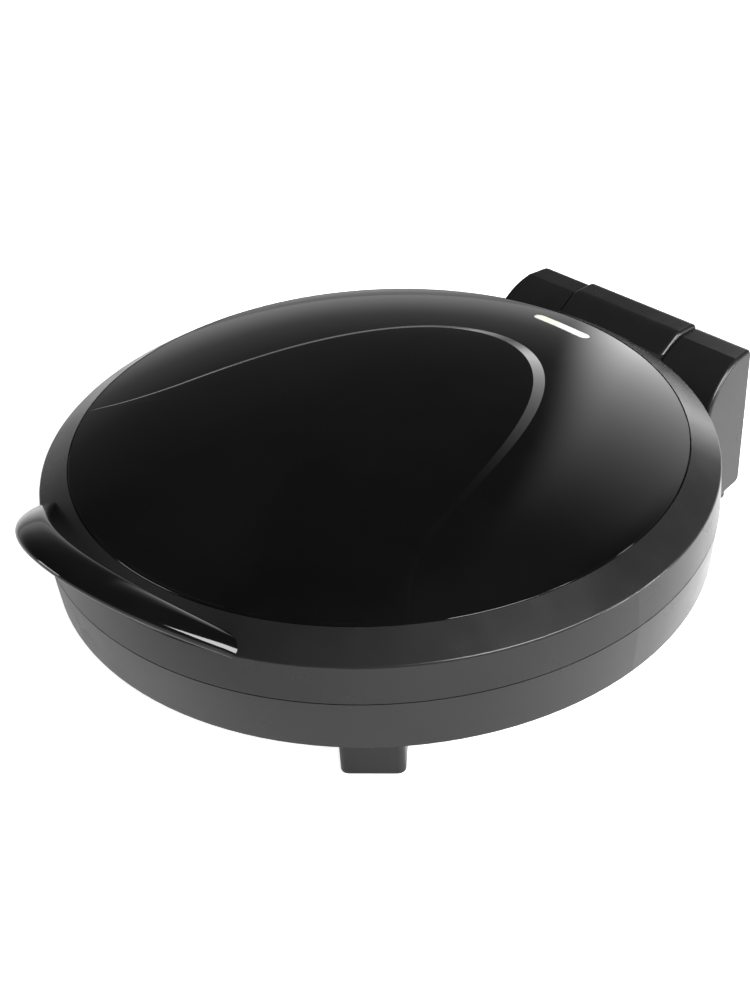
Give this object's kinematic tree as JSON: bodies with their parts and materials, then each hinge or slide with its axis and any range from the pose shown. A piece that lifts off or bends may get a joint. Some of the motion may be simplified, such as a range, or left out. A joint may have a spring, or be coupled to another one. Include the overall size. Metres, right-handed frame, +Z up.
{
  "type": "electric pancake pan",
  "caption": "Round electric pancake pan: shallow domed lid with a bow handle, floating rear hinge, two heated plates, front feet and a standing hinge housing.",
  "frame": {"origin": "on the table, midway between the handle's front and the cord bush at the back, on the left-right symmetry plane", "axes": "+X to the user's right, +Y from the handle to the hinge, +Z up"},
  "size_m": [0.328, 0.3864, 0.1331],
  "materials": {
    "satin_black": "fine satin moulded plastic",
    "gloss_black": "polished moulded plastic",
    "frosted_lens": "frosted pale lens",
    "lamp": "small neon lamps",
    "coated_plate": "cast aluminium with dark non-stick coating",
    "heater_steel": "heater tube steel",
    "sheet_steel": "aluminised sheet",
    "ceramic": "ceramic and glass sleeve",
    "zinc_steel": "zinc plated",
    "nylon": "self-lubricating nylon",
    "rubber": "soft black rubber"
  },
  "bodies": {
    "base": {"base_shell": "satin_black", "hinge_housing": "satin_black", "bottom_cover": "satin_black", "cord_bush": "rubber", "cover_screws": "zinc_steel", "front_feet": "satin_black", "rear_feet": "satin_black", "rubber_pads": "rubber", "lower_fuse": "ceramic", "lower_heat_shield": "sheet_steel", "lower_heater": "heater_steel", "lower_plate": "coated_plate", "lower_plate_screws": "zinc_steel", "lower_thermostat": "ceramic", "terminal_block": "ceramic"},
    "float_carriage": {"hinge_pin": "zinc_steel", "slide_blocks": "nylon"},
    "lid": {"lid_ring": "satin_black", "dome_cover": "gloss_black", "indicator_lens": "frosted_lens", "indicator_lamps": "lamp", "front_handle": "gloss_black", "hinge_arm": "satin_black", "upper_plate": "coated_plate", "upper_heater": "heater_steel", "upper_heat_shield": "sheet_steel", "upper_thermostat": "ceramic", "upper_fuse": "ceramic", "upper_plate_screws": "zinc_steel", "shield_screws": "zinc_steel"}
  },
  "joints": [
    {"name": "lid_float", "type": "slide", "parent": "base", "child": "float_carriage", "axis": [0, 0, 1], "range_m": [0, 0.012]},
    {"name": "lid_hinge", "type": "hinge", "parent": "float_carriage", "child": "lid", "pos_m": [0, 0.17716, 0.075], "axis": [-1, 0, 0], "range_deg": [0, 105]}
  ]
}
